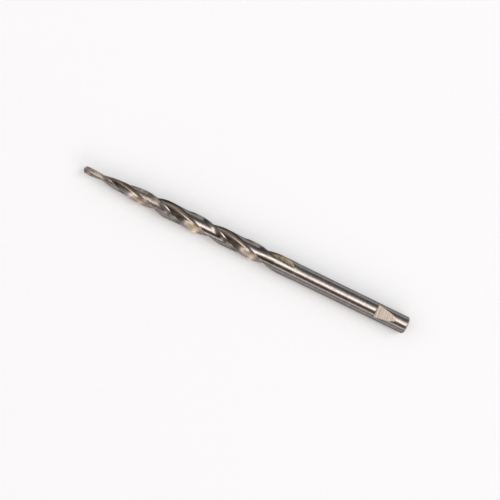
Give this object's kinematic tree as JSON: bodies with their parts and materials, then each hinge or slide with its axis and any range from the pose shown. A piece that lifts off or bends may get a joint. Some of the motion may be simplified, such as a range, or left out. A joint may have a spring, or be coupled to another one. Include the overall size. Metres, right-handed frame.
{
  "type": "taper drill bit",
  "caption": "Taper-point twist drill with right-hand helical flutes, relieved lands, a plain round shank and a slanted set-screw notch, for tapered pilot holes in wood.",
  "frame": {"origin": "centre of the shank's end face, on the bit's axis", "axes": "+X along the axis from the point towards the shank end; +Z out of the set-screw notch, with the bit lying on its side"},
  "size_m": [0.0889, 0.0044, 0.0044],
  "materials": {
    "ground_steel": "ground high-speed steel"
  },
  "bodies": {
    "root": {"drill_bit": "ground_steel"}
  },
  "joints": []
}
